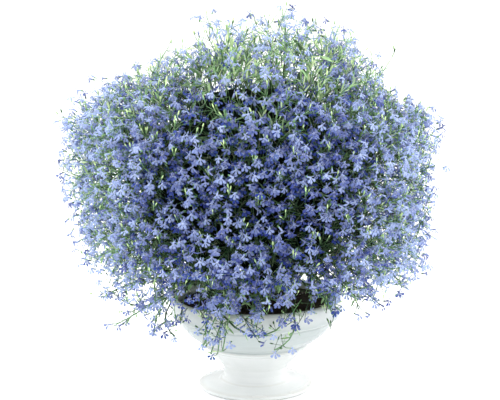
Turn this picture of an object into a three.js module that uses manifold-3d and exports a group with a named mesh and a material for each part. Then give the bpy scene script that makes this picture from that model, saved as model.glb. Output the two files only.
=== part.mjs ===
// A trailing lobelia in its pot: a glazed bowl on a foot, potting soil, thirteen leafy stems that grow out of
// the soil and fill the mound, and the flowering sprays that stand on them and cover it.
// Millimetres, +Z up. The origin is the middle of the pot's foot, on the surface that it stands on, and -Y is
// the front.
import * as THREE from "three";
import { ConvexGeometry } from "three/addons/geometries/ConvexGeometry.js";
import { mergeVertices } from "three/addons/utils/BufferGeometryUtils.js";
import Module from "manifold-3d";

const wasm = await Module();
wasm.setup();

// ---- Driving dimensions -------------------------------------------------------------------------
const POT_SIDES = 28;
const POT_RIM_RADIUS = 112;
const POT_HEIGHT = 124;
const POT_FOOT_RADIUS = 75.5;
const POT_WAIST_RADIUS = 41.5;
const FOOT_RING_WIDTH = 9;
const DRAIN_RADIUS = 8;
const BOWL_FLOOR_Z = 40;
const SOIL_TOP_Z = 114;
const SOIL_CROWN_RISE = 4;
const CLEARANCE = 0.35; // between a piece and the piece that holds it

const STEM_COUNT = 13;
const STEM_RADIUS = 2.8;
const STEM_SIDES = 4;
const STEM_STEPS = 4;
const STEM_HOLE_RADIUS = 4;
const STEM_DEPTH = 20; // how far a stem goes down into the soil
const ROOT_SPREAD = 46; // radius of the ring that the outermost stems come up in
const CROWN_Z = 124; // the height that all stems fan out from
const FOLIAGE_SIDES = 16;
const FOLIAGE_THICKNESS = 46; // inside it the stems are bare
const FOLIAGE_FLOOR_Z = 140;
const STEM_GAP = 3; // open space between the foliage of two stems

const SPRAY_COUNT = 42;
const FLORET_COUNT = 260;
const FLORET_RADII = [33, 31, 29, 27, 25, 23, 21, 19, 17]; // a floret takes the largest that has room
const FLORET_TURN = 0.6;
const FLORET_LAYERS = 3;
const LAYER_STEP = 8;
const FLORET_GAP = 0.5; // between two florets
const STRAY_REACH = 12;
const SPRAY_DEPTH = 48; // from the flowers down to the foliage that the sprays stand on
const SPRAY_ROOT = 24; // how far a spray's stalk goes into its stem's foliage
const SPRAY_RISE = 9; // how high above the foliage its florets branch off
const SPRAY_HOLE_RADIUS = 3.4;
const HUB_RADIUS = 3.8;
const LEAF_CANDIDATES = 360;
const LEAF_LENGTH = 50;
const LEAF_WIDTH = 9.5;
const LEAF_THICKNESS = 2;
const LEAF_GAP = 0.6; // between a leaf and a spray
const LEAF_ROOT = 9; // how far a leaf's base is sunk in

// The mound of flowers in profile, as radius and height, from its top down to the fringe below the pot's rim.
const MOUND_PROFILE = [
  [0, 488], [90, 477], [150, 443], [200, 398], [231, 356], [239, 310],
  [235, 255], [225, 205], [206, 165], [180, 134], [150, 110],
];
const MOUND_LUMPS = 0.028; // how much the mound swells and shrinks around its axis
const FRONT_FRINGE = 18; // how much lower the fringe hangs at the front
const FRONT = -Math.PI / 2;
const GOLDEN_ANGLE = Math.PI * (3 - Math.sqrt(5));

const colours = {
  pot: new THREE.MeshStandardMaterial({ color: 0xf2f3f1, roughness: 0.25, metalness: 0 }),
  soil: new THREE.MeshStandardMaterial({ color: 0x2f2219, roughness: 0.95, metalness: 0 }),
  foliage: new THREE.MeshStandardMaterial({ color: 0x4f7a35, roughness: 0.6, metalness: 0 }),
  flower: new THREE.MeshStandardMaterial({ color: 0x7583d6, roughness: 0.6, metalness: 0 }),
};

// ---- Small tools --------------------------------------------------------------------------------
// A repeatable random number from 0 to 1.
function seeded(seed) {
  let state = seed >>> 0;
  return () => {
    state = (state + 0x6d2b79f5) >>> 0;
    let t = Math.imul(state ^ (state >>> 15), 1 | state);
    t = (t + Math.imul(t ^ (t >>> 7), 61 | t)) ^ t;
    return ((t ^ (t >>> 14)) >>> 0) / 4294967296;
  };
}

// A closed three.js geometry as a manifold-3d solid.
function solid(geometry) {
  const bare = geometry.clone();
  for (const name of Object.keys(bare.attributes)) {
    if (name !== "position") bare.deleteAttribute(name);
  }
  const merged = mergeVertices(bare, 1e-4);
  const { array } = merged.attributes.position;
  const triVerts = new Uint32Array(merged.index.array);
  return new wasm.Manifold(new wasm.Mesh({ numProp: 3, vertProperties: array, triVerts }));
}

// A manifold-3d solid as a three.js geometry.
function geometryOf(made) {
  const { vertProperties, triVerts } = made.getMesh();
  const geometry = new THREE.BufferGeometry();
  geometry.setAttribute("position", new THREE.BufferAttribute(new Float32Array(vertProperties), 3));
  geometry.setIndex(new THREE.BufferAttribute(new Uint32Array(triVerts), 1));
  geometry.computeVertexNormals();
  return geometry;
}

function named(name, geometry, material) {
  const mesh = new THREE.Mesh(geometry, material);
  mesh.name = name;
  return mesh;
}

// A revolved profile of [radius, height] points, turned so that its axis is Z.
function turned(profile, sides) {
  const points = profile.map(([r, z]) => new THREE.Vector2(r, z));
  const made = new THREE.LatheGeometry(points, sides);
  return made.rotateX(Math.PI / 2);
}

// A regular prism from one point to another.
function prism(from, to, radius, sides) {
  const along = to.clone().sub(from);
  const made = new THREE.CylinderGeometry(radius, radius, along.length(), sides, 1);
  const up = new THREE.Vector3(0, 1, 0);
  made.applyQuaternion(new THREE.Quaternion().setFromUnitVectors(up, along.clone().normalize()));
  const middle = from.clone().add(to).multiplyScalar(0.5);
  return made.translate(middle.x, middle.y, middle.z);
}

// A closed geometry from its triangles, each given as three points in turn, anticlockwise seen from outside.
function facets(triangles) {
  const points = triangles.flat().map((p) => (p.isVector3 ? p.toArray() : p));
  const made = new THREE.BufferGeometry();
  return made.setAttribute("position", new THREE.BufferAttribute(new Float32Array(points.flat()), 3));
}

const twoDigits = (n) => String(n).padStart(2, "0");

// ---- Pot ----------------------------------------------------------------------------------------
// The inside of the bowl, from its floor up to the rim.
const BOWL_INSIDE = [[46, BOWL_FLOOR_Z], [63, 61], [86, 78], [98, 98], [101, 118]];

function potGeometry() {
  const outside = [
    [POT_FOOT_RADIUS - 2, 0],
    [POT_FOOT_RADIUS, 4],
    [POT_FOOT_RADIUS - 3, 8],
    [POT_WAIST_RADIUS + 6, 12],
    [POT_WAIST_RADIUS, 20],
    [POT_WAIST_RADIUS + 4, 35],
    [60, 50],
    [70.5, 57.5],
    [70, 62],
    [86, 71],
    [99, 86],
    [102.5, 95],
    [POT_RIM_RADIUS, 100],
    [POT_RIM_RADIUS, 118],
    [107.5, POT_HEIGHT],
  ];
  const inside = [...BOWL_INSIDE].reverse();
  const underside = [
    [DRAIN_RADIUS, BOWL_FLOOR_Z],
    [DRAIN_RADIUS, 32],
    [34, 30],
    [POT_WAIST_RADIUS - 6, 9],
    [POT_FOOT_RADIUS - 2 - FOOT_RING_WIDTH, 3],
    [POT_FOOT_RADIUS - 2 - FOOT_RING_WIDTH, 0],
  ];
  const loop = [...outside, ...inside, ...underside];
  return turned([...loop, loop[0]], POT_SIDES);
}

// ---- The mound's surface ------------------------------------------------------------------------
const moundCurve = new THREE.SplineCurve(MOUND_PROFILE.map(([r, z]) => new THREE.Vector2(r, z)));
const PROFILE_STEPS = 240;
const areaSoFar = [0];
for (let i = 1; i <= PROFILE_STEPS; i++) {
  const a = moundCurve.getPoint((i - 1) / PROFILE_STEPS);
  const b = moundCurve.getPoint(i / PROFILE_STEPS);
  areaSoFar.push(areaSoFar[i - 1] + a.distanceTo(b) * (a.x + b.x) / 2);
}

// Where along the profile a share of the mound's area, counted from its top, has gone by.
function profilePlace(share) {
  const wanted = share * areaSoFar[PROFILE_STEPS];
  let i = 1;
  while (i < PROFILE_STEPS && areaSoFar[i] < wanted) i++;
  const part = (wanted - areaSoFar[i - 1]) / (areaSoFar[i] - areaSoFar[i - 1]);
  return (i - 1 + part) / PROFILE_STEPS;
}

function swell(azimuth) {
  const waves = Math.sin(3 * azimuth + 0.7) + 0.6 * Math.sin(5 * azimuth - 0.4);
  return 1 + MOUND_LUMPS * waves / 1.6;
}

// A point on the mound, or inset below it: t runs from 0 at the top to 1 at the fringe.
function moundPoint(t, azimuth, inset = 0) {
  const p = moundCurve.getPoint(t);
  const tangent = moundCurve.getTangent(t);
  const r = Math.max(0, p.x + tangent.y * inset) * swell(azimuth);
  const frontness = (1 + Math.cos(azimuth - FRONT)) / 2;
  const droop = FRONT_FRINGE * frontness ** 2 * THREE.MathUtils.smoothstep(t, 0.86, 1);
  return new THREE.Vector3(r * Math.cos(azimuth), r * Math.sin(azimuth), p.y - tangent.x * inset - droop);
}

function moundNormal(t, azimuth) {
  const { x, y } = moundCurve.getTangent(t);
  return new THREE.Vector3(-y * Math.cos(azimuth), -y * Math.sin(azimuth), x).normalize();
}

// Evenly spread places on the mound, or on the upper share of it: a spiral that gives each the same area.
function spiral(count, phase = 0, share = 1) {
  return Array.from({ length: count }, (_, i) => {
    return { t: profilePlace(share * (i + 0.5) / count), azimuth: i * GOLDEN_ANGLE + phase };
  });
}

// ---- Leafy stems --------------------------------------------------------------------------------
const crown = new THREE.Vector3(0, 0, CROWN_Z);

// Each stem grows from the crown towards its own place on the mound and fills the part that is nearest to it.
const stems = spiral(STEM_COUNT, 0.5, 0.84).map(({ t, azimuth }, i) => {
  const arm = moundPoint(t, azimuth, SPRAY_DEPTH + FOLIAGE_THICKNESS / 3).sub(crown);
  const reach = arm.length();
  const direction = arm.normalize();
  const root = new THREE.Vector3(direction.x, direction.y, 0).multiplyScalar(ROOT_SPREAD);
  root.z = SOIL_TOP_Z - STEM_DEPTH;
  return { name: `leafy_stem_${twoDigits(i + 1)}`, direction, reach, root };
});

// The planes between a stem's share of the mound and its neighbours' shares, pointing into its own.
for (const stem of stems) {
  const others = stems.filter((other) => other !== stem);
  stem.borders = others.map((other) => stem.direction.clone().sub(other.direction).normalize());
}

// How far a point lies inside a stem's share of the mound.
function depthInShare(stem, point) {
  const place = point.clone().sub(crown);
  return Math.min(...stem.borders.map((border) => border.dot(place)));
}

function stemAt(point) {
  const place = point.clone().sub(crown);
  return stems.reduce((best, s) => (s.direction.dot(place) > best.direction.dot(place) ? s : best));
}

// The whole shell of foliage below the flowers: inside it, round the crown, the stems are bare.
function foliageSolid() {
  const row = (t, inset) => {
    const p = moundCurve.getPoint(t);
    const tangent = moundCurve.getTangent(t);
    return [p.x + tangent.y * inset, p.y - tangent.x * inset];
  };
  const top = moundCurve.getPoint(0).y;
  const outer = [0.8, 0.68, 0.56, 0.44, 0.32, 0.2, 0.1].map((t) => row(t, SPRAY_DEPTH));
  const inner = [0.26, 0.5, 0.72].map((t) => row(t, SPRAY_DEPTH + FOLIAGE_THICKNESS));
  const profile = [
    [0, top - SPRAY_DEPTH - FOLIAGE_THICKNESS], ...inner,
    [112, FOLIAGE_FLOOR_Z], [134, FOLIAGE_FLOOR_Z], ...outer, [0, top - SPRAY_DEPTH],
  ];
  const geometry = turned(profile, FOLIAGE_SIDES);
  const position = geometry.attributes.position;
  for (let i = 0; i < position.count; i++) {
    const size = swell(Math.atan2(position.getY(i), position.getX(i)));
    position.setX(i, position.getX(i) * size);
    position.setY(i, position.getY(i) * size);
  }
  return solid(geometry);
}

// The part of the foliage that one stem carries.
function shareOf(foliage, stem) {
  let share = foliage;
  for (const border of stem.borders) {
    share = share.trimByPlane([border.x, border.y, border.z], border.dot(crown) + STEM_GAP / 2);
  }
  return share;
}

// The bare stem's path: up out of the soil, then over into its foliage.
function stemPath(stem) {
  const end = crown.clone().addScaledVector(stem.direction, stem.reach);
  const bend = stem.root.clone().lerp(end, 0.25).setZ(CROWN_Z + 0.35 * (end.z - CROWN_Z) + 12);
  return new THREE.QuadraticBezierCurve3(stem.root, bend, end);
}

function stemSolid(stem) {
  const section = new THREE.Shape();
  for (let i = 0; i < STEM_SIDES; i++) {
    const angle = i * 2 * Math.PI / STEM_SIDES;
    const corner = [STEM_RADIUS * Math.cos(angle), STEM_RADIUS * Math.sin(angle)];
    if (i === 0) section.moveTo(...corner);
    else section.lineTo(...corner);
  }
  const settings = { steps: STEM_STEPS, extrudePath: stemPath(stem), bevelEnabled: false };
  return solid(new THREE.ExtrudeGeometry(section, settings));
}

// The soil fills the bowl, a little clear of it, and its top is slightly domed. Each stem has a plain hole.
function soilSolid() {
  const below = BOWL_INSIDE.filter(([, z]) => z < SOIL_TOP_Z);
  const edge = below.map(([r, z]) => [r - 2 * CLEARANCE, z + CLEARANCE]);
  const top = [[100 - 2 * CLEARANCE, SOIL_TOP_Z], [0, SOIL_TOP_Z + SOIL_CROWN_RISE]];
  let soil = solid(turned([[0, BOWL_FLOOR_Z + CLEARANCE], ...edge, ...top], POT_SIDES));
  for (const stem of stems) {
    const [start, next] = stemPath(stem).getSpacedPoints(STEM_STEPS);
    const along = next.sub(start).normalize();
    const end = start.clone().addScaledVector(along, -2 * CLEARANCE);
    const mouth = start.clone().addScaledVector(along, 2 * STEM_DEPTH);
    soil = soil.subtract(solid(prism(end, mouth, STEM_HOLE_RADIUS, 5)));
  }
  return soil;
}

// ---- Leaves -------------------------------------------------------------------------------------
// A slim blade, widest past its middle, creased below along its midrib: it grows from the origin along +X.
function leafGeometry(length) {
  const widest = 0.55 * length;
  const arch = 0.08 * length;
  const base = [0, 0, 0];
  const tip = [length, 0, 0];
  const left = [widest, LEAF_WIDTH / 2, arch + LEAF_THICKNESS];
  const right = [widest, -LEAF_WIDTH / 2, arch + LEAF_THICKNESS];
  const rib = [widest, 0, arch];
  return facets([
    [base, right, left], [tip, left, right],
    [base, rib, right], [base, left, rib], [tip, right, rib], [tip, rib, left],
  ]);
}

// ---- Flowering sprays ---------------------------------------------------------------------------
// A floret's outline, from the middle of its lower lip round: degrees, and reach as a share of its radius.
// Three broad lobes make the lower lip, and two narrow ones the upper.
const FLORET_OUTLINE = [
  [0, 1], [29, 0.68], [56, 0.99], [100, 0.42], [144, 0.86],
  [180, 0.36], [216, 0.86], [260, 0.42], [304, 0.99], [331, 0.68],
];
const NECK_OF_CORNER = [0, 0, 0, 1, 1, 1, 2, 2, 2, 0]; // the neck corner that each outline corner runs down to
const NECK_DEGREES = [20, 140, 260];
const NECK_RADIUS = 2.2;
const NECK_DEPTH = 9;
const THROAT_DEPTH = 4;
const NOTCH_DEPTH = 2;

// A floret's head as a cupped star whose face looks along `facing`, with its lower lip towards `down`.
// Its neck is left open: the three corners of the neck are given back with the triangles.
function headFacets({ centre, facing, down }, radius) {
  const side = facing.clone().cross(down).normalize();
  const low = side.clone().cross(facing).normalize();
  const place = (reach, degrees, up) => {
    const angle = THREE.MathUtils.degToRad(degrees);
    const point = centre.clone().addScaledVector(facing, up);
    return point.addScaledVector(low, reach * Math.cos(angle)).addScaledVector(side, reach * Math.sin(angle));
  };
  const rim = FLORET_OUTLINE.map(([degrees, reach]) => {
    return place(radius * reach, degrees, reach < 0.8 ? -NOTCH_DEPTH : 0);
  });
  const neck = NECK_DEGREES.map((degrees) => place(NECK_RADIUS, degrees, -NECK_DEPTH));
  const throat = place(0, 0, -THROAT_DEPTH);
  const triangles = rim.flatMap((corner, i) => {
    const next = (i + 1) % rim.length;
    const [mine, its] = [NECK_OF_CORNER[i], NECK_OF_CORNER[next]];
    const made = [[throat, corner, rim[next]], [rim[next], corner, neck[mine]]];
    if (mine !== its) made.push([rim[next], neck[mine], neck[its]]);
    return made;
  });
  return { triangles, neck };
}

// The smallest convex body around two triangles: a straight, three-sided stalk or pedicel.
function stalkBetween(from, to) {
  return solid(new ConvexGeometry([...from, ...to]));
}

// The places that the sprays stand at, kept clear of the gaps between the stems' foliage.
const SPRAY_BORDER = 10;
const sprays = spiral(SPRAY_COUNT, 1.1).map(({ t, azimuth }, i) => {
  const tOnFoliage = Math.min(t, 0.8);
  const normal = moundNormal(tOnFoliage, azimuth);
  const foot = moundPoint(tOnFoliage, azimuth, SPRAY_DEPTH);
  const stem = stemAt(foot);
  for (let round = 0; round < 4; round++) {
    for (const border of stem.borders) {
      const top = foot.clone().sub(crown);
      const bottom = top.clone().addScaledVector(normal, -SPRAY_ROOT);
      const short = SPRAY_BORDER - Math.min(border.dot(top), border.dot(bottom));
      if (short > 0) foot.addScaledVector(border, short);
    }
  }
  const name = `flower_spray_${twoDigits(i + 1)}`;
  return { name, mark: moundPoint(t, azimuth), foot, normal, stem, florets: [] };
});

// Florets in three layers, so that they can be wider than their spacing and close over the foliage, each given
// to the spray that is nearest. A few stray out of the mound.
const florets = spiral(FLORET_COUNT, FLORET_TURN).map(({ t, azimuth }, i) => {
  const random = seeded(1000 + i);
  const stray = i % 17 === 5 ? STRAY_REACH : 0;
  const depth = (i % FLORET_LAYERS) * LAYER_STEP + 3 * random() - stray;
  return { centre: moundPoint(t, azimuth, depth), normal: moundNormal(t, azimuth), random };
});
for (const floret of florets) {
  const home = sprays.reduce((best, s) => {
    return s.mark.distanceTo(floret.centre) < best.mark.distanceTo(floret.centre) ? s : best;
  });
  home.florets.push(floret);
}

// The small body that a spray's pedicels branch from: a twenty-sided solid with one side square to the stalk.
function hubFaces(hub, axis) {
  const made = new THREE.IcosahedronGeometry(HUB_RADIUS, 0).getAttribute("position");
  const corner = (i) => new THREE.Vector3().fromBufferAttribute(made, i);
  const faces = Array.from({ length: 20 }, (_, k) => [corner(3 * k), corner(3 * k + 1), corner(3 * k + 2)]);
  const middle = (face) => face[0].clone().add(face[1]).add(face[2]).normalize();
  const turn = new THREE.Quaternion().setFromUnitVectors(middle(faces[0]), axis.clone().negate());
  for (const face of faces) {
    for (const point of face) point.applyQuaternion(turn);
  }
  return faces.map((face) => {
    const normal = middle(face);
    return { normal, corners: face.map((point) => point.add(hub)) };
  });
}

// Gives each floret a side of the hub of its own, as near as can be to the way that its pedicel goes.
function shareHub(faces, ways) {
  const chosen = ways.map((_, i) => i);
  const fit = (i, k) => faces[k].normal.dot(ways[i]);
  for (let round = 0; round < 12; round++) {
    for (let i = 0; i < ways.length; i++) {
      for (let k = 0; k < faces.length; k++) {
        const j = chosen.indexOf(k);
        const gain = fit(i, k) - fit(i, chosen[i]) + (j < 0 ? 0 : fit(j, chosen[i]) - fit(j, k));
        if (gain > 1e-9) {
          if (j >= 0) chosen[j] = chosen[i];
          chosen[i] = k;
        }
      }
    }
  }
  return chosen;
}

for (const spray of sprays) {
  const { foot, normal } = spray;
  const hub = foot.clone().addScaledVector(normal, SPRAY_RISE);
  [spray.stalkSide, ...spray.sides] = hubFaces(hub, normal);
  const ways = spray.florets.map(({ centre }) => centre.clone().sub(hub).normalize());
  shareHub(spray.sides, ways).forEach((k, i) => {
    const floret = spray.florets[i];
    const { random } = floret;
    const wobble = new THREE.Vector3(random() - 0.5, random() - 0.5, random() - 0.5).multiplyScalar(0.4);
    floret.facing = floret.normal.clone().lerp(ways[i], 0.25).add(wobble).normalize();
    floret.down = new THREE.Vector3(random() - 0.5, random() - 0.5, -1);
    floret.pedicel = stalkBetween(spray.sides[k].corners, headFacets(floret, FLORET_RADII[0]).neck);
  });
}

function boxesMeet(a, b, margin) {
  return [0, 1, 2].every((k) => a.min[k] - margin < b.max[k] && b.min[k] - margin < a.max[k]);
}

// Whether a solid is clear of all others by more than the given gap.
function isFree(made, others, gap) {
  const box = made.boundingBox();
  return others.every((other) => {
    return !boxesMeet(box, other.boundingBox(), gap) || made.minGap(other, 2 * gap) > gap;
  });
}

// Every floret's head is as large as its neighbours' heads and pedicels leave room for.
const heads = [];
for (const floret of florets) {
  const others = [...heads, ...florets.filter((other) => other !== floret).map((other) => other.pedicel)];
  for (const radius of FLORET_RADII) {
    const { triangles, neck } = headFacets(floret, radius);
    floret.head = solid(facets([...triangles, [...neck].reverse()]));
    if (isFree(floret.head, others, FLORET_GAP)) break;
  }
  heads.push(floret.head);
}

// A spray: its stalk and hub, with the pedicels on the hub's sides and the heads on the pedicels.
function spraySolid({ foot, normal, stalkSide, sides, florets: own }) {
  const sunk = stalkSide.corners.map((point) => {
    const height = point.clone().sub(foot).dot(normal);
    return point.clone().addScaledVector(normal, -SPRAY_ROOT - height);
  });
  const hub = solid(facets([stalkSide, ...sides].map(({ corners }) => corners)));
  const stalk = stalkBetween(stalkSide.corners, sunk);
  return wasm.Manifold.union([hub, stalk, ...own.flatMap(({ pedicel, head }) => [pedicel, head])]);
}

for (const spray of sprays) spray.solid = spraySolid(spray);

// ---- Foliage, set between the sprays ------------------------------------------------------------
const spraySolids = sprays.map((spray) => spray.solid);

const leaves = spiral(LEAF_CANDIDATES, 2.3).flatMap(({ t, azimuth }, i) => {
  const random = seeded(5000 + i);
  const tOnFoliage = Math.min(t, 0.83);
  const normal = moundNormal(tOnFoliage, azimuth);
  const base = moundPoint(tOnFoliage, azimuth, SPRAY_DEPTH).addScaledVector(normal, -LEAF_ROOT);
  const stem = stemAt(base);
  for (let turn = 0; turn < 5; turn++) {
    const lean = new THREE.Vector3(random() - 0.5, random() - 0.5, random() - 0.5).multiplyScalar(1.3);
    const along = normal.clone().add(lean).normalize();
    const length = LEAF_LENGTH * (0.85 + 0.3 * random()) + LEAF_ROOT;
    const tip = base.clone().addScaledVector(along, length);
    const middle = base.clone().lerp(tip, 0.55);
    const inside = [base, middle, tip].every((p) => depthInShare(stem, p) > STEM_GAP + LEAF_WIDTH / 2);
    if (!inside || tip.z < POT_HEIGHT + 4) continue;
    const turnTo = new THREE.Quaternion().setFromUnitVectors(new THREE.Vector3(1, 0, 0), along);
    const geometry = leafGeometry(length).rotateX(random() * 2 * Math.PI).applyQuaternion(turnTo);
    const leaf = solid(geometry.translate(base.x, base.y, base.z));
    if (isFree(leaf, spraySolids, LEAF_GAP)) return [{ stem, leaf }];
  }
  return [];
});

function leafyStemSolid(foliage, stem) {
  const own = leaves.filter((l) => l.stem === stem).map((l) => l.leaf);
  let made = wasm.Manifold.union([shareOf(foliage, stem), stemSolid(stem), ...own]);
  for (const spray of sprays.filter((s) => s.stem === stem)) {
    const end = spray.foot.clone().addScaledVector(spray.normal, -SPRAY_ROOT - CLEARANCE);
    const mouth = spray.foot.clone().addScaledVector(spray.normal, SPRAY_RISE);
    made = made.subtract(solid(prism(end, mouth, SPRAY_HOLE_RADIUS, 4)));
  }
  return made;
}

// ---- The whole plant ----------------------------------------------------------------------------
const lobelia = new THREE.Group();
lobelia.add(named("pot", potGeometry(), colours.pot));
lobelia.add(named("soil", geometryOf(soilSolid()), colours.soil));

const foliage = foliageSolid();
for (const stem of stems) {
  lobelia.add(named(stem.name, geometryOf(leafyStemSolid(foliage, stem)), colours.foliage));
}
for (const spray of sprays) {
  lobelia.add(named(spray.name, geometryOf(spray.solid), colours.flower));
}

export default lobelia;
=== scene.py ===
"""A trailing lobelia in a glazed pedestal bowl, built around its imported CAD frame.

The mound grows by one rule: places on it come from a spiral that gives each the same area, each flower
stands on the branch whose tip is nearest, and each branch belongs to the spray whose mark is nearest.
Trailing strands hang over the rim by a rule of their own, and a few single stems have set places.
"""

import math
import random
from types import SimpleNamespace

import bmesh
import bpy
import numpy as np
from mathutils import Matrix, Vector, kdtree, noise


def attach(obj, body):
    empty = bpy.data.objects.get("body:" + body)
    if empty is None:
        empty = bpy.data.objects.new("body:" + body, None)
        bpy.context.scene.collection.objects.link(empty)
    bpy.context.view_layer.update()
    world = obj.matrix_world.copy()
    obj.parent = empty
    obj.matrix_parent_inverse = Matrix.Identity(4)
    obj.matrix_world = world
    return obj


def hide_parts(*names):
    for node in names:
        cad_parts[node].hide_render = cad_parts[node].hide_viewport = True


bl_info = {
    "name": "Trailing lobelia in a pedestal bowl",
    "version": (1, 0, 0),
    "blender": (4, 5, 0),
    "location": "View3D > Sidebar > Lobelia",
    "description": "Builds a trailing lobelia: the bowl, the soil, the leafy stems and the flowering sprays",
    "category": "Object",
}

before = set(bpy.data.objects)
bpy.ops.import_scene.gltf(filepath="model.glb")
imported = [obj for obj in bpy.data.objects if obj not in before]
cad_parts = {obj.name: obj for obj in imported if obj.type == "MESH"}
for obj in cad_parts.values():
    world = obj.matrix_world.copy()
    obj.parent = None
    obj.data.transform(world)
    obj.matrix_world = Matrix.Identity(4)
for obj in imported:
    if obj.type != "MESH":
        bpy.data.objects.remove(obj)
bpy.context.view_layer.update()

MM = 0.001
GOLDEN_ANGLE = math.pi * (3 - math.sqrt(5))
UP = Vector((0, 0, 1))

# ---- The mound ----
# Radius and height in millimetres, from the top of the mound down to the fringe below the bowl's rim.
MOUND_PROFILE = (
    (0, 488), (90, 477), (150, 443), (200, 398), (231, 356), (239, 310),
    (235, 255), (225, 205), (206, 165), (180, 134), (150, 110),
)
MOUND_LUMPS = 0.028
FRONT_FRINGE = 18 * MM
FRONT = -math.pi / 2
CROWN = Vector((0, 0, 124 * MM))
SPRAY_COUNT = 42
SPRAY_DEPTH = 48 * MM
STEM_COUNT = 13


def seeded(*numbers):
    """A repeatable random generator for one piece or one item."""
    return random.Random(sum(n * 7919 ** k for k, n in enumerate(numbers, 1)))


def jitter(rng, size=1.0):
    """A vector whose parts are each between minus and plus size."""
    return Vector([rng.uniform(-size, size) for _ in range(3)])


def ease(value, low, high):
    """0 below low, 1 above high, and a smooth rise between them."""
    share = min(1.0, max(0.0, (value - low) / (high - low)))
    return share * share * (3 - 2 * share)


def profile_point(t):
    """A point of the mound's profile, in metres, where t runs from 0 at the top to 1 at the fringe."""
    last = len(MOUND_PROFILE) - 1
    place = min(max(t, 0.0), 1.0) * last
    k = min(int(place), last - 1)
    p0, p1, p2, p3 = (Vector(MOUND_PROFILE[min(max(j, 0), last)]) for j in (k - 1, k, k + 1, k + 2))
    w = place - k
    v0, v1 = (p2 - p0) / 2, (p3 - p1) / 2
    cubic = (2 * (p1 - p2) + v0 + v1) * w ** 3 + (3 * (p2 - p1) - 2 * v0 - v1) * w ** 2 + v0 * w + p1
    return cubic * MM


def profile_tangent(t):
    step = 1e-4
    return (profile_point(min(t + step, 1)) - profile_point(max(t - step, 0))).normalized()


def area_table(steps=240):
    """The mound's area above each of many places along its profile."""
    total, table = 0.0, [0.0]
    for i in range(steps):
        a, b = profile_point(i / steps), profile_point((i + 1) / steps)
        total += (b - a).length * (a.x + b.x) / 2
        table.append(total)
    return table


AREA_ABOVE = area_table()


def profile_place(share):
    """Where along the profile a share of the mound's area, counted from its top, has gone by."""
    wanted = share * AREA_ABOVE[-1]
    i = next(k for k in range(1, len(AREA_ABOVE)) if AREA_ABOVE[k] >= wanted or k == len(AREA_ABOVE) - 1)
    part = (wanted - AREA_ABOVE[i - 1]) / (AREA_ABOVE[i] - AREA_ABOVE[i - 1])
    return (i - 1 + part) / (len(AREA_ABOVE) - 1)


def mound_point(t, azimuth, inset=0.0):
    """A point on the mound, or inset below its surface. The mound leans to its right near its top."""
    p, tangent = profile_point(t), profile_tangent(t)
    waves = math.sin(3 * azimuth + 0.7) + 0.6 * math.sin(5 * azimuth - 0.4)
    radius = max(0.0, p.x + tangent.y * inset) * (1 + MOUND_LUMPS * waves / 1.6)
    frontness = (1 + math.cos(azimuth - FRONT)) / 2
    droop = FRONT_FRINGE * frontness ** 2 * ease(t, 0.86, 1)
    height = p.y - tangent.x * inset - droop
    lean = 34 * ease(height, 0.40, 0.44) - 8 * ease(height, 0.455, 0.485)
    lean = (lean - 6 * ease(height, 0.12, 0.24)) * MM
    return Vector((radius * math.cos(azimuth) + lean, radius * math.sin(azimuth), height))


def looseness(t, azimuth):
    """How far the plant thins out below its outline on the mound's shoulder, a little more on its right."""
    return ease(t, 0.05, 0.20) * (1 - ease(t, 0.24, 0.42)) * (1 + 0.1 * math.cos(azimuth))


def daylight(t, azimuth):
    """How open to the light a place is: most so at the top and on the sides, least so low at the front. It
    sets the painted light and shade in the colours of the flowers, stems and leaves.
    """
    return 1 - ease(math.cos(azimuth - FRONT), 0.58, 0.90) * ease(t, 0.12, 0.34)


def fringe_share(azimuth):
    """1 where the fringe hangs over the front of the bowl, and 0 elsewhere round the rim."""
    return ease(math.cos(azimuth - FRONT + 0.17), 0.86, 0.95)


def mound_normal(t, azimuth):
    tangent = profile_tangent(t)
    return Vector((-tangent.y * math.cos(azimuth), -tangent.y * math.sin(azimuth), tangent.x)).normalized()


def spiral(count, phase, share=1.0):
    """Evenly spread places on the mound, or on the upper share of it, each with the same area."""
    return [(profile_place(share * (i + 0.5) / count), i * GOLDEN_ANGLE + phase) for i in range(count)]


def nearest_finder(points):
    """A function that gives the number of the point that is nearest to a place."""
    tree = kdtree.KDTree(len(points))
    for i, point in enumerate(points):
        tree.insert(point, i)
    tree.balance()
    return lambda place: tree.find(place)[1]


# ---- Materials ----
def math_methods(operation):
    """The method that adds this Math node for an operator, and the one for its reflected form."""
    def forward(self, other):
        return self.math(operation, self, other)

    def reflected(self, other):
        return self.math(operation, other, self)

    return forward, reflected


class Number:
    """A shader socket that holds a number, and adds Math nodes when it is used in an expression."""

    def __init__(self, shader, socket):
        self.shader = shader
        self.socket = socket

    def math(self, operation, first, second=None, clamp=False):
        inputs = {0: first} if second is None else {0: first, 1: second}
        made = self.shader.node("Math", {"operation": operation, "use_clamp": clamp}, inputs)
        return Number(self.shader, made.outputs[0])

    __add__, __radd__ = math_methods("ADD")
    __sub__, __rsub__ = math_methods("SUBTRACT")
    __mul__, __rmul__ = math_methods("MULTIPLY")
    __pow__, __rpow__ = math_methods("POWER")

    def __abs__(self):
        return self.math("ABSOLUTE", self)

    def sine(self):
        return self.math("SINE", self)

    def clamped(self):
        return self.math("ADD", self, 0.0, clamp=True)

    def positive(self):
        return self.math("MAXIMUM", self, 0.0)


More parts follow.
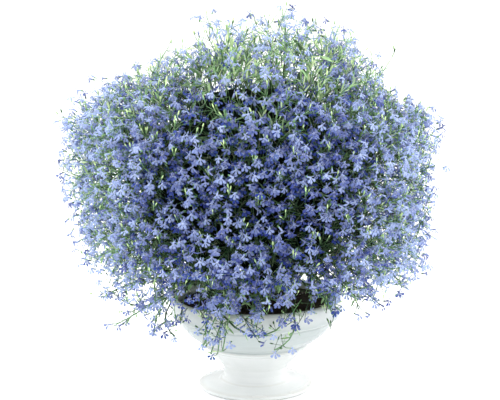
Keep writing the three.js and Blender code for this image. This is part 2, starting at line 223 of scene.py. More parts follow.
class NodeTree:
    """A shader node tree, with one way to add a node to it."""

    def __init__(self, tree):
        self.tree = tree
        self.tree.nodes.clear()

    def node(self, kind, settings=None, inputs=None):
        """Adds a shader node: its settings are set first, and then its sockets get their values or links."""
        made = self.tree.nodes.new("ShaderNode" + kind)
        for name, value in (settings or {}).items():
            if name == "stops":
                self.set_stops(made.color_ramp, value)
            else:
                setattr(made, name, value)
        for name, value in (inputs or {}).items():
            self.feed(made.inputs[name], value)
        return made

    def set_stops(self, ramp, stops):
        for i, (place, colour) in enumerate(stops):
            stop = ramp.elements[i] if i < 2 else ramp.elements.new(place)
            stop.position = place
            stop.color = (*colour, 1)

    def feed(self, socket, value):
        if isinstance(value, Number):
            value = value.socket
        if isinstance(value, bpy.types.NodeSocket):
            self.tree.links.new(value, socket)
        elif socket.type == "RGBA":
            socket.default_value = (*value, 1)
        else:
            socket.default_value = value

    def number(self, socket):
        return Number(self, socket)

    def parts(self, vector):
        """The X, Y and Z of a vector."""
        split = self.node("SeparateXYZ", {}, {0: vector})
        return [self.number(split.outputs[axis]) for axis in "XYZ"]

    def seen_by_camera(self):
        """1 for what the camera sees directly, and 0 for all that lights or shows in other things."""
        return self.number(self.node("LightPath").outputs["Is Camera Ray"])


class Shader(NodeTree):
    """A material that is built from nodes around one Principled BSDF."""

    def __init__(self, name, **constants):
        self.material = bpy.data.materials.new(name)
        self.material.use_nodes = True
        super().__init__(self.material.node_tree)
        self.surface = self.node("BsdfPrincipled")
        self.node("OutputMaterial", {}, {"Surface": self.surface.outputs[0]})
        self.set(**constants)

    def set(self, **inputs):
        """Feeds the Principled BSDF's sockets, whose names are written with _ for a space."""
        for name, value in inputs.items():
            self.feed(self.surface.inputs[name.replace("_", " ")], value)

    def attribute(self, name):
        return self.number(self.node("Attribute", {"attribute_name": name}).outputs["Fac"])

    def blade(self):
        """The place on a petal or a leaf: across it, and along it from its base."""
        return self.parts(self.node("UVMap", {"uv_map": "blade"}).outputs[0])[:2]

    def position(self):
        return self.node("TexCoord").outputs["Object"]

    def height(self):
        return self.parts(self.position())[2]

    def noise(self, scale, detail=2.0, roughness=0.5, distortion=0.0):
        inputs = {"Scale": scale, "Detail": detail, "Roughness": roughness, "Distortion": distortion}
        return self.number(self.node("TexNoise", {}, {"Vector": self.position(), **inputs}).outputs["Fac"])

    def mix(self, factor, first, second):
        """A colour between the first one, at 0, and the second one, at 1."""
        return self.node("Mix", {"data_type": "RGBA"}, {"Factor": factor, 6: first, 7: second}).outputs[2]

    def ramp(self, factor, *stops):
        return self.node("ValToRGB", {"stops": stops}, {"Fac": factor}).outputs["Color"]

    def band(self, value, low, high):
        """0 below low, 1 above high, and a smooth rise between them."""
        inputs = {"Value": value, "From Min": low, "From Max": high}
        made = self.node("MapRange", {"interpolation_type": "SMOOTHSTEP"}, inputs)
        return self.number(made.outputs["Result"])

    def bump(self, height, distance, strength=1.0):
        inputs = {"Height": height, "Distance": distance, "Strength": strength}
        return self.node("Bump", {}, inputs).outputs["Normal"]


def petal_material(settings):
    """Lavender-blue petals: paler and bluer ones side by side, by their tint and by painted shade that makes
    them bluer in shadow, fine veins, and a pale eye at the throat.
    """
    shader = Shader(
        "lobelia_petal", Roughness=0.55, Specular_IOR_Level=0.12, Subsurface_Weight=0.35,
        Subsurface_Radius=(1.0, 1.0, 1.0), Subsurface_Scale=0.0015,
    )
    across, along = shader.blade()
    deep = settings.deep_petal
    # The tint attribute carries painted shade: petals in shadow take the deep colour, petals where light
    # falls the pale one.
    body = shader.mix(shader.band(shader.attribute("tint"), -0.05, 0.9), deep, settings.pale_petal)
    tip = shader.mix(shader.band(along, 0.6, 1.0) * 0.3, body, deep)
    vein = abs((across * (math.pi * 7)).sine()) ** 5
    veined = shader.mix(vein * 0.25 * shader.band(along, 0.2, 0.5), tip, tuple(c * 0.62 for c in deep))
    eye = 1 - shader.band(along, 0.12, 0.38)
    shader.set(Base_Color=shader.mix(eye * 0.7, veined, settings.eye))
    return shader.material


def green_material(name, settings, roughness):
    """Leaves and stems: each one its own green, darker as painted shade where it sits in shadow and paler as
    painted light where light falls, with a paler midrib.
    """
    shader = Shader(
        name, Roughness=roughness, Specular_IOR_Level=0.12, Subsurface_Weight=0.35,
        Subsurface_Radius=(0.8, 1.0, 0.6), Subsurface_Scale=0.001,
    )
    across, along = shader.blade()
    # Painted light and shade: the tint attribute darkens shaded leaves and stems towards the dark colour and
    # lightens lit ones towards the young one.
    patches_and_shade = shader.noise(160, 3) * 0.3 + shader.attribute("tint") * 0.85 - 0.15
    lit_young_colour = settings.young_and_lit_leaf
    body = shader.ramp(patches_and_shade.clamped(), (0, settings.shaded_leaf), (0.55, settings.leaf), (1, lit_young_colour))
    rib = (1 - abs(across - 0.5) * 14).clamped() * shader.band(along, 0.0, 0.1)
    shader.set(Base_Color=shader.mix(rib * 0.35, body, tuple(min(1, c * 1.6) for c in lit_young_colour)))
    return shader.material


def heart_shade_material():
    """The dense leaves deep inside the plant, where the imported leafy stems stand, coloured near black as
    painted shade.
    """
    shader = Shader("inner_foliage_shade", Roughness=0.9, Specular_IOR_Level=0.02)
    leafy = shader.noise(70, 6, 0.7, 0.6)
    shader.set(Base_Color=shader.ramp(
        leafy, (0.30, (0.001, 0.002, 0.002)), (0.55, (0.003, 0.007, 0.004)), (0.75, (0.010, 0.022, 0.010)),
    ))
    shader.set(Normal=shader.bump(leafy, 0.006))
    return shader.material


# Heights of the grooves that are painted darker as painted shade, in metres.
GROOVE_HEIGHTS = (0.0953, 0.0628)


def glaze_material(settings):
    """A glossy white glaze: painted shade on the upper wall and, half as strong, on the rim band, painted
    shade in the grooves, thin on the edges, and specked.
    """
    shader = Shader("white_glaze", Coat_Weight=0.35, Coat_Roughness=0.06)
    clouds = shader.noise(9, 4, 0.55)
    height = shader.height()
    # Painted shade: the wall from the bead up to the rim band, and half as much the rim band, is greyer
    # where the rim and the plant shade it.
    thick = shader.band(height, 0.054, 0.066) * (1 - shader.band(height, 0.098, 0.112) * 0.5)
    glaze = shader.mix(thick, settings.glaze, settings.clouded_and_shaded_glaze)
    shade = shader.mix(shader.band(clouds, 0.35, 0.75) * 0.25, glaze, settings.clouded_and_shaded_glaze)
    # Painted shade: dark lines along the grooves.
    groove_shade = sum(1 - shader.band(abs(height - groove), 0.0006, 0.0024) for groove in GROOVE_HEIGHTS)
    groove_shaded = shader.mix(groove_shade.clamped() * 0.55, shade, (0.34, 0.39, 0.38))
    thin = shader.mix(shader.band(shader.attribute("edge"), 0.3, 1.0) * 0.45, groove_shaded, (0.70, 0.68, 0.62))
    specks = shader.band(shader.noise(420, 1), 0.72, 0.78)
    marked = shader.mix(specks * 0.22, thin, (0.42, 0.38, 0.33))
    damp = (1 - shader.band(height, 0.0, 0.012)) * shader.band(shader.noise(24, 5, 0.6), 0.40, 0.62)
    shader.set(Base_Color=shader.mix(damp * 0.16, marked, (0.46, 0.44, 0.38)))
    shader.set(Roughness=0.13 + clouds * 0.14 + damp * 0.2)
    ripple = shader.noise(26, 3, 0.5) + shader.noise(210, 2) * 0.15
    shader.set(Normal=shader.bump(ripple, 0.0009, 0.6))
    return shader.material


def soil_material():
    """Dark, damp, crumbly potting soil with lighter fibres."""
    shader = Shader("potting_soil", Roughness=0.95, Specular_IOR_Level=0.2)
    crumbs = shader.noise(240, 8, 0.7)
    fibre = shader.band(shader.noise(520, 3, 0.5, 2.5), 0.62, 0.72)
    body = shader.ramp(
        crumbs, (0.30, (0.010, 0.007, 0.005)), (0.55, (0.035, 0.022, 0.014)), (0.78, (0.095, 0.060, 0.036)),
    )
    shader.set(Base_Color=shader.mix(fibre * 0.5, body, (0.20, 0.13, 0.07)))
    shader.set(Normal=shader.bump(crumbs, 0.002))
    return shader.material


def grit_material():
    shader = Shader("white_grit", Roughness=0.9)
    dirt = shader.band(shader.noise(700, 4, 0.6), 0.35, 0.7)
    shader.set(Base_Color=shader.mix(dirt * 0.7, (0.78, 0.76, 0.70), (0.32, 0.25, 0.18)))
    shader.set(Normal=shader.bump(shader.noise(900, 4), 0.0006))
    return shader.material


def floor_material(settings):
    """A pale matt floor that looks lighter than it is, without lighting the bowl more."""
    shader = Shader("pale_floor", Roughness=0.85, Specular_IOR_Level=0.0, Emission_Strength=0.3)
    colour = settings.floor_colour
    shader.set(Base_Color=shader.mix(shader.noise(6, 3) * 0.25, colour, tuple(c * 0.985 for c in colour)))
    shader.set(Emission_Color=shader.mix(shader.seen_by_camera(), (0, 0, 0), (1, 1, 1)))
    return shader.material


# ---- Shapes that are made once and placed many times ----
PETAL, GREEN = 0, 1
# Where on a blade, across it and along it, the tubes, cups and buds take their colour from.
CUP_PLACE = (0.3, 0.3)


def of_kind(kind, geom):
    """The elements of one kind in what a bmesh operator gives back."""
    return [g for g in geom if isinstance(g, getattr(bmesh.types, kind))]


def distinct(elements):
    """Each element once, in the order in which it first comes."""
    return list(dict.fromkeys(elements))


def smooth(faces):
    for face in faces:
        face.smooth = True


def paint(bm, faces, material, place):
    """Makes faces smooth, and gives them their material and each corner its place on the blade."""
    smooth(faces)
    uv = bm.loops.layers.uv["blade"]
    for face in faces:
        face.material_index = material
        for loop in face.loops:
            loop[uv].uv = place(loop.vert.co)


def new_pattern():
    """An empty mesh in the making, with the attributes that the plant's materials read."""
    bm = bmesh.new()
    # The tint attribute holds each piece's own tone together with its painted light and shade.
    bm.verts.layers.float.new("tint")
    bm.loops.layers.uv.new("blade")
    return bm


def add_blade(bm, outline, rise, material, matrix, reach=(0.0, 1.0)):
    """A thin closed blade with an outline of (along, across, up), whose middle rises above its back."""
    rim = bmesh.ops.create_circle(bm, cap_ends=True, segments=len(outline), radius=1)["verts"]
    length = max(p[0] for p in outline)
    width = max(abs(p[1]) for p in outline)
    for vert, place in zip(rim, outline):
        vert.co = place
    front = rim[0].link_faces[0]
    front.normal_update()
    if front.normal.z < 0:
        front.normal_flip()
    back = of_kind("BMFace", bmesh.ops.duplicate(bm, geom=[front])["geom"])[0]
    back.normal_flip()
    fan = bmesh.ops.poke(bm, faces=[front])
    fan["verts"][0].co = Vector((0.55 * length, 0, rise))
    faces = [*fan["faces"], back]
    verts = distinct(v for f in faces for v in f.verts)
    start, extent = reach[0], reach[1] - reach[0]
    paint(bm, faces, material, lambda co: (0.5 + 0.5 * co.y / width, start + extent * (co.x / length)))
    bmesh.ops.remove_doubles(bm, verts=verts, dist=1e-7)
    kept = distinct(v for f in faces if f.is_valid for v in f.verts)
    for edge in back.edges:
        edge.smooth = False
    bmesh.ops.transform(bm, matrix=matrix, verts=kept)


def add_cup(bm, sides, rings, material):
    """A closed round form along Z, from (radius, height) rings."""
    made = bmesh.ops.create_circle(bm, cap_ends=False, segments=sides, radius=rings[0][0])
    first = edges = distinct(e for v in made["verts"] for e in v.link_edges)
    bmesh.ops.translate(bm, verts=made["verts"], vec=(0, 0, rings[0][1]))
    faces = []
    for radius, height in rings[1:]:
        step = bmesh.ops.extrude_edge_only(bm, edges=edges)["geom"]
        verts = of_kind("BMVert", step)
        edges = [e for e in of_kind("BMEdge", step) if all(v in verts for v in e.verts)]
        faces += of_kind("BMFace", step)
        for vert in verts:
            flat = Vector((vert.co.x, vert.co.y)).normalized() * radius
            vert.co = (flat.x, flat.y, height)
    for rim in (first, edges):
        faces += bmesh.ops.contextual_create(bm, geom=rim)["faces"]
    bmesh.ops.recalc_face_normals(bm, faces=faces)
    paint(bm, faces, material, lambda co: CUP_PLACE)


# The outlines of a lower and an upper petal lobe, in millimetres along, across and up.
LOBE = (
    (0, -0.35, 0), (2.5, -1.0, 0.35), (4.7, -1.75, 0.3), (6.5, -0.8, -0.35),
    (6.5, 0.8, -0.35), (4.7, 1.75, 0.3), (2.5, 1.0, 0.35), (0, 0.35, 0),
)
UPPER_LOBE = ((0, 0, 0), (2.6, -0.8, 0.1), (5.4, 0, 0.4), (2.6, 0.8, 0.1))
# The length of an open flower if it lay flat, in millimetres.
FLAT_FLOWER = 13.6


def add_petal(bm, outline, rise, turn, tilt, out, reach):
    """One petal of a flower, turned about the flower's axis, set out from it and tilted, in degrees."""
    matrix = (
        Matrix.Rotation(math.radians(turn), 4, "Z") @ Matrix.Translation((out, 0, 0))
        @ Matrix.Rotation(math.radians(tilt), 4, "Y")
    )
    add_blade(bm, outline, rise, PETAL, matrix, reach)


def flower_pattern(cup, lift):
    """An open flower that looks along +Z, with three broad lobes towards +X and two narrow ones behind."""
    bm = new_pattern()
    for turn, tilt in ((-50, cup), (0, cup + 8), (50, cup)):
        add_petal(bm, LOBE, 0.45, turn, tilt, 0.9, (0.14, 1.0))
    for turn in (150, -150):
        add_petal(bm, UPPER_LOBE, 0.35, turn, -lift, 0.8, (0.25, 0.75))
    add_cup(bm, 4, ((0.75, -6.6), (1.35, 0.1)), PETAL)
    add_cup(bm, 4, ((0.45, -8.4), (1.25, -5.6)), GREEN)
    return bm


def leaf_pattern(width, fold):
    """A narrow leaf along +X, one unit long, folded a little along its midrib."""
    side = [(0.0, 0.3), (0.35, 1.0), (0.75, 0.72), (1.0, 0.0)]
    outline = [(along, -width * share, fold * share) for along, share in side]
    outline += [(along, width * share, fold * share) for along, share in side[-2::-1]]
    bm = new_pattern()
    add_blade(bm, outline, -0.3 * fold + 0.02, GREEN, Matrix())
    return bm


def bud_pattern():
    """A closed bud that points along +Z: a slim club on a small green cup."""
    bm = new_pattern()
    add_cup(bm, 4, ((0.3, 0.0), (0.95, 1.8), (1.0, 4.0), (0.25, 6.0)), GREEN)
    return bm


def crumb_pattern():
    bm = new_pattern()
    bmesh.ops.create_icosphere(bm, subdivisions=1, radius=1)
    for vert in bm.verts:
        vert.co *= 1 + 0.35 * noise.noise(vert.co * 1.7)
    smooth(bm.faces)
    return bm


def tube_pattern(sides, steps):
    """A closed tube of radius 1 from z = 0 to z = 1, in equal steps, which is laid along a path."""
    bm = new_pattern()
    add_cup(bm, sides, [(1, k / steps) for k in range(steps + 1)], GREEN)
    return bm


class Stamp:
    """A small mesh that is placed many times into a larger one, each time with a tint of its own, which
    carries painted light and shade too.
    """

    def __init__(self, bm, scale=1.0):
        self.mesh = bpy.data.meshes.new("stamp")
        bm.to_mesh(self.mesh)
        bm.free()
        self.count = len(self.mesh.vertices)
        flat = np.empty(self.count * 3, np.float32)
        self.mesh.vertices.foreach_get("co", flat)
        self.places = flat.reshape(-1, 3) * scale

    def put(self, bm, places, tint):
        """Adds the mesh with its vertices at the given places, and one tint, with its painted light and
        shade, for all or one for each.
        """
        tints = np.broadcast_to(np.asarray(tint, np.float32), self.count)
        self.mesh.vertices.foreach_set("co", np.ascontiguousarray(places, np.float32).ravel())
        self.mesh.attributes["tint"].data.foreach_set("value", np.ascontiguousarray(tints))
        bm.from_mesh(self.mesh)

    def place(self, bm, centre, turn, size, tint):
        matrix = np.array(Matrix.Translation(centre) @ turn @ Matrix.Scale(size, 4), np.float32)
        self.put(bm, self.places @ matrix[:3, :3].T + matrix[:3, 3], tint)

    def follow(self, bm, path, radii, tints):
        """Lays a tube pattern along a path, whose points are one more than the tube's steps."""
        steps = len(path) - 1
        points = np.array([tuple(p) for p in path], np.float32)
        ways = np.gradient(points, axis=0)
        ways /= np.linalg.norm(ways, axis=1)[:, None]
        lean = np.array((0.36, 0.48, 0.8), np.float32)
        if abs(float(ways[0] @ lean)) > 0.9:
            lean = np.array((0.8, -0.6, 0.0), np.float32)
        sides = np.cross(ways, lean)
        sides /= np.linalg.norm(sides, axis=1)[:, None]
        others = np.cross(ways, sides)
        ring = np.rint(self.places[:, 2] * steps).astype(int)
        share = ring / steps
        radius = (radii[0] + (radii[1] - radii[0]) * share)[:, None]
        across = sides[ring] * self.places[:, :1] + others[ring] * self.places[:, 1:2]
        self.put(bm, points[ring] + across * radius, tints[0] + (tints[1] - tints[0]) * share)


def turned_to(way, down=Vector((0.3, 0.2, -1))):
    """A turn that takes +Z to the given way, and +X towards down."""
    z = way.normalized()
    x = down - z * down.dot(z)
    if x.length < 1e-5:
        x = z.orthogonal()
    x.normalize()
    return Matrix((x, z.cross(x), z)).transposed().to_4x4()


def along_x(way, roll):
    """A turn that takes +X to the given way, rolled about it."""
    x = way.normalized()
    z = UP - x * x.z
    z = x.orthogonal() if z.length < 1e-3 else z.normalized()
    turn = Matrix((x, z.cross(x), z)).transposed().to_4x4()
    return turn @ Matrix.Rotation(roll, 4, "X")


def bezier(start, bend, end, steps):
    """The points of a quadratic curve, one more than its steps."""
    shares = [k / steps for k in range(steps + 1)]
    return [start * (1 - s) ** 2 + bend * 2 * s * (1 - s) + end * s * s for s in shares]


class Stamps:
    """All stamps of the plant."""

    def __init__(self, settings):
        scale = settings.flower_width / FLAT_FLOWER
        cups_and_lifts = ((4, 30), (-16, 55), (20, 10), (-34, 70))
        self.flowers = [Stamp(flower_pattern(cup, lift), scale) for cup, lift in cups_and_lifts]
        self.leaves = [Stamp(leaf_pattern(width, fold)) for width, fold in ((0.11, 0.05), (0.065, 0.03))]
        self.bud = Stamp(bud_pattern(), MM)
        sides_and_steps = ((3, 2), (4, 7), (3, 5), (7, 12))
        self.tubes = [Stamp(tube_pattern(sides, steps)) for sides, steps in sides_and_steps]
        self.pedicel, self.branch, self.shoot, self.stem = self.tubes

    def remove(self):
        for stamp in (*self.flowers, *self.leaves, self.bud, *self.tubes):
            bpy.data.meshes.remove(stamp.mesh)


# ---- The plant's plan ----
def new_branch(number, path, outward, sunlit, trailing=False):
    """A flowering branch: its path, how much light it gets, and the flowers that stand on it."""
    return SimpleNamespace(
        number=number, path=path, outward=outward, sunlit=sunlit, trailing=trailing, flowers=[])


def new_spray(number, t, azimuth):
    """One of the sprays that the mound's flowers are shared among. Its foot stays above the bowl's rim."""
    high = min(t, 0.8)
    return SimpleNamespace(
        name=f"flower_spray_{number:02d}", mark=mound_point(t, azimuth), branches=[],
        normal=mound_normal(high, azimuth), foot=mound_point(high, azimuth, SPRAY_DEPTH))


def plan_branch(spray, number, t, azimuth, rng):
    """A branch from its spray's foot out to a place on the mound, a few of them well beyond it."""
    normal = mound_normal(t, azimuth)
    stray = rng.random()
    beyond = rng.uniform(6, 22) * MM if stray > 0.91 else rng.uniform(-16, 0) * MM
    beyond -= (24 * looseness(t, azimuth) * rng.uniform(0.6, 1) + 4 * (1 - ease(t, 0.0, 0.35))) * MM
    tip = mound_point(t, azimuth, -beyond) + jitter(rng, 5 * MM)
    tip.z += 3 * MM
    start = spray.foot.lerp(mound_point(min(t, 0.85), azimuth, SPRAY_DEPTH), 0.45)
    start -= spray.normal * rng.uniform(4, 16) * MM
    reach = (tip - start).length
    bend = start + (spray.normal * 0.55 + normal * 0.25 + UP * 0.12).normalized() * reach * 0.55
    sunlit = max(ease(tip.z, 0.34, 0.42), (0.80 - 0.15 * math.cos(azimuth)) * daylight(t, azimuth))
    return new_branch(number, bezier(start, bend, tip, 7), normal, sunlit)


# Trailing strands: their turn from the front and its spread in degrees, their share of all strands, and in
# millimetres the height of their ends and how far out these are.
STRAND_GROUPS = (
    (-12, 20, 0.333, (76, 104), (124, 138)),
    (-66, 14, 0.125, (112, 140), (160, 206)),
    (46, 14, 0.25, (128, 150), (118, 160)),
    (180, 110, 0.292, (134, 148), (150, 186)),
)
# Single stems that hang or stand apart from the rest: their start, bend and end in millimetres.
LOOSE_STEMS = (
    ((-62, -104, 152), (2, -152, 56), (56, -118, 146)),
    ((35, -106, 158), (66, -136, 104), (22, -136, 86)),
    ((-85, -55, 160), (-140, -75, 100), (-184, -60, 142)),
    ((-88, -58, 158), (-140, -75, 122), (-182, -65, 98)),
    ((-85, -62, 156), (-130, -86, 136), (-128, -96, 95)),
    ((-90, -65, 152), (-132, -88, 112), (-102, -84, 90)),
    ((88, -55, 160), (126, -70, 150), (130, -74, 122)),
    ((90, -50, 162), (132, -60, 150), (156, -66, 128)),
    ((40, -40, 160), (78, -88, 160), (68, -114, 130)),
    ((60, -30, 165), (98, -74, 158), (88, -100, 134)),
    ((24, 6, 455), (32, 0, 480), (38, -4, 495)),
)


def plan_strand(number, azimuth, height, reach, rng):
    """A thin trailing strand that arches out over the rim to an end at this height and this far out."""
    out = Vector((math.cos(azimuth), math.sin(azimuth), 0))
    side = Vector((-out.y, out.x, 0)) * rng.uniform(-0.05, 0.05)
    start = out * 0.106 + UP * 0.158 + side * 0.3
    end = out * reach + UP * height + side
    crest = max(0.160, height) + rng.uniform(-0.012, 0.006)
    bend = out * (0.5 * (0.106 + reach) + 0.018) + UP * crest + side * 0.4
    return new_branch(number, bezier(start, bend, end, 7), out, 0.5, trailing=True)


def plan_strands(count):
    """The trailing strands: a fringe at the front, longer ones to its sides, short ones all around."""
    strands = []
    for group, (turn, spread, share, heights, reaches) in enumerate(STRAND_GROUPS):
        for n in range(round(count * share)):
            rng = seeded(13, group, n)
            azimuth = FRONT + math.radians(turn + spread * rng.uniform(-1, 1))
            height, reach = rng.uniform(*heights) * MM, rng.uniform(*reaches) * MM
            strand = plan_strand(2000 + 100 * group + n, azimuth, height, reach, rng)
            plan_strand_flowers(strand, (0.42, 0.56, 0.68, 0.8, 0.9, 1.0), rng)
            strands.append(strand)
    for n, places in enumerate(LOOSE_STEMS):
        path = bezier(*(Vector(place) * MM for place in places), 7)
        upright = path[-1].z > path[0].z + 30 * MM
        outward = Vector((path[-1].x, path[-1].y, 0)).normalized()
        strand = new_branch(2900 + n, path, outward, 0.9 if upright else 0.5, trailing=not upright)
        plan_strand_flowers(strand, (0.45, 0.6, 0.74, 0.82, 0.9, 0.96, 1.0), seeded(14, n))
        strands.append(strand)
    return strands


def plan_plant(settings):
    """Shares branches among the sprays, and flowers among the branches."""
    sprays = [new_spray(n, *place) for n, place in enumerate(spiral(SPRAY_COUNT, 1.1), 1)]
    spray_at = nearest_finder([spray.mark for spray in sprays])
    branches = []
    for n, (t, azimuth) in enumerate(spiral(settings.branch_count, 0.4)):
        spray = sprays[spray_at(mound_point(t, azimuth))]
        branches.append(plan_branch(spray, n, t, azimuth, seeded(11, n)))
        spray.branches.append(branches[-1])
    for strand in plan_strands(settings.strand_count):
        sprays[spray_at(strand.path[-1])].branches.append(strand)
    branch_at = nearest_finder([branch.path[-1] for branch in branches])
    for n, (t, azimuth) in enumerate(spiral(settings.flower_count, 2.0)):
        rng = seeded(15, n)
        normal = mound_normal(t, azimuth)
        place = mound_point(t, azimuth)
        clump = 0.9 * noise.noise(place * 24) + 0.9 * noise.noise(place * 60)
        dense = 0.30 + 0.70 * ease(t, 0.10, 0.45)
        bare = ease(t, 0.80, 0.89) * (1 - 0.28 * fringe_share(azimuth))
        if rng.random() > dense * (1 - bare) * (0.92 + clump):
            continue
        leftness = ease(-math.cos(azimuth), 0.3, 0.9)
        swell = 14 * noise.noise(place * 9) + 6 * leftness
        depth = rng.triangular(-6 - 13 * leftness, 62, 15) - clump * 10 + swell
        depth = (depth + 19 * looseness(t, azimuth) - 5) * MM
        centre = mound_point(t, azimuth, depth) + jitter(rng, 6 * MM)
        # Painted shade: flowers deep in the mound and low at the front get a deeper blue, and flowers where
        # light falls a paler one.
        shade = ease(depth, 12 * MM, 42 * MM) - 0.65 * daylight(t, azimuth)
        flower = plan_flower(centre, normal, 0.68, shade, rng)
        flower.tint *= 0.66 + 0.34 * daylight(t, azimuth)
        branch = branches[branch_at(centre)]
        if bare < 0.3 or (branch.path[-1] - centre).length < 30 * MM:
            branch.flowers.append(flower)
    return sprays


def plan_flower(centre, outward, stray, shade, rng):
    """A flower that looks outward, more or less, painted a deeper blue as painted shade where it sits in
    shadow.
    """
    level = Vector((outward.x, outward.y, 0))
    facing = level + UP * max(outward.z, -0.1) * 0.8 + jitter(rng, stray)
    down = Vector((0, 0, -1)) + jitter(rng, 0.4)
    tint = max(0.0, rng.random() * (1 - 0.75 * shade) - 0.2 * shade)
    return SimpleNamespace(
        centre=centre, facing=facing.normalized(), down=down, tint=tint, size=rng.uniform(0.84, 1.12))


def plan_strand_flowers(strand, shares, rng):
    for share in shares:
        k = min(len(strand.path) - 1, round(share * (len(strand.path) - 1)))
        if rng.random() < 0.6:
            centre = strand.path[k] + strand.outward * rng.uniform(4, 12) * MM + jitter(rng, 9 * MM)
            facing = strand.outward - Vector((0, 0.5, 0)) * ease(-strand.outward.y, -0.3, 0.3)
            strand.flowers.append(plan_flower(centre, facing, 0.5, 0.1, rng))


# ---- Building the pieces ----
def add_object(name, data):
    """Adds an object with this data to the scene."""
    made = bpy.data.objects.new(name, data)
    bpy.context.scene.collection.objects.link(made)
    return made


def finished_mesh(name, bm, *materials):
    mesh = bpy.data.meshes.new(name)
    bm.to_mesh(mesh)
    bm.free()
    for material in materials:
        mesh.materials.append(material)
    return mesh


def make_piece(name, bm, materials, node):
    """Makes a piece that stands for a CAD node and rides on the part's body."""
    piece = add_object(name, finished_mesh(name, bm, *materials))
    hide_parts(node)
    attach(piece, "root")
    return piece


def add_flower(bm, stamps, flower, branch, rng):
    """A flower, and the pedicel that holds it to its branch."""
    stamp = rng.choices(stamps.flowers, (5, 3, 3, 1))[0]
    stamp.place(bm, flower.centre, turned_to(flower.facing, flower.down), flower.size * MM, flower.tint)
    base = flower.centre - flower.facing * 8.2 * MM * flower.size
    stalk = branch.path
    steps = range(2, len(stalk) - (0 if branch.trailing else 1))
    k = min(steps, key=lambda j: abs((stalk[j] - base).length - 15 * MM))
    root = stalk[k]
    way = (root - stalk[k - 1]).normalized()
    bend = root + way * min(9 * MM, 0.45 * (base - root).length)
    tail = base - flower.facing * 3 * MM
    path = bezier(root, bend.lerp(tail, 0.35), base + flower.facing * 0.6 * MM, 2)
    # Painted light and shade: the pedicel is paler the more light its branch gets, and darker at its root
    # inside the mound.
    light = 0.1 + 0.8 * branch.sunlit
    thick = 1.5 if branch.trailing else 1.0
    tints = (0.3 * light, light * rng.uniform(0.5, 1.2))
    stamps.pedicel.follow(bm, path, (0.40 * thick * MM, 0.32 * thick * MM), tints)


def add_leaf(bm, stamps, base, way, length, tint, rng):
    stamp = rng.choices(stamps.leaves, (3, 2))[0]
    stamp.place(bm, base, along_x(way, rng.uniform(-0.8, 0.8)), length, tint)


def add_bud(bm, stamps, base, way, stalk, tint, rng):
    size = rng.uniform(0.6, 1.1)
    end = base + way * stalk
    path = bezier(base, base.lerp(end, 0.5), end, 2)
    stamps.pedicel.follow(bm, path, (0.32 * MM, 0.32 * MM), (0.4 * tint, 0.7 * tint))
    stamps.bud.place(bm, end, turned_to(way), size, tint)


def add_branch(bm, stamps, branch, settings, rng):
    """A branch with its leaves, buds and flowers."""
    path = branch.path
    # Painted light and shade: the branch and its leaves are paler the more light the branch gets, and the
    # branch is darker towards its base inside the mound.
    light = 0.12 + 1.1 * branch.sunlit
    tints = (0.05 * light, light * rng.uniform(0.3, 0.9))
    thick, lowest, leafy, budding, sway = 1.9, 0.1, 1.3, 1.8, 0.9
    if not branch.trailing:
        leafy = 0.25 + 0.95 * branch.sunlit - 0.45 * ease(path[-1].z, 0.39, 0.46)
        thick, lowest, budding, sway = 1.0, 0.3, 1 - 0.5 * branch.sunlit, 0.4
    stamps.branch.follow(bm, path, (0.75 * thick * MM, 0.38 * thick * MM), tints)
    turn = rng.uniform(0, 2 * math.pi)
    last = len(path) - 1
    leaves = round(settings.leaves_per_branch * leafy)
    for n in range(leaves):
        share = lowest + (0.82 - lowest) * (n + rng.random() * 0.5) / leaves
        k = min(last - 1, int(share * last))
        base = path[k].lerp(path[k + 1], share * last - k)
        way = (path[k + 1] - path[k]).normalized()
        turn += GOLDEN_ANGLE
        side = way.orthogonal().normalized()
        side.rotate(Matrix.Rotation(turn, 3, way))
        aim = way * 0.7 + side * 0.7 + UP * 0.35
        length = settings.leaf_length * (1.15 - 0.55 * share) * rng.uniform(0.7, 1.15) * MM
        add_leaf(bm, stamps, base, aim, length, light * rng.uniform(0.5, 1.2), rng)
    way = (path[-1] - path[-2]).normalized()
    for n in range(round(settings.buds_per_branch * budding)):
        aim = (way * 0.3 + UP + jitter(rng, sway)).normalized()
        base = path[-1] if n == 0 else path[-1] - way * rng.uniform(2, 12) * MM
        stalk = rng.uniform(3, 9) * MM
        if branch.trailing:
            base = path[rng.randint(3, last)]
            stalk = rng.uniform(7, 14) * MM
        shine = rng.uniform(0.8, 1.5) if n == 0 or rng.random() < 0.4 else rng.uniform(0.1, 0.4)
        add_bud(bm, stamps, base, aim, stalk, shine, rng)
    for flower in branch.flowers:
        add_flower(bm, stamps, flower, branch, rng)


def stem_directions():
    """The way that each leafy stem fills, seen from the crown."""
    places = spiral(STEM_COUNT, 0.5, 0.84)
    return [mound_point(t, azimuth, SPRAY_DEPTH + 15 * MM) - CROWN for t, azimuth in places]


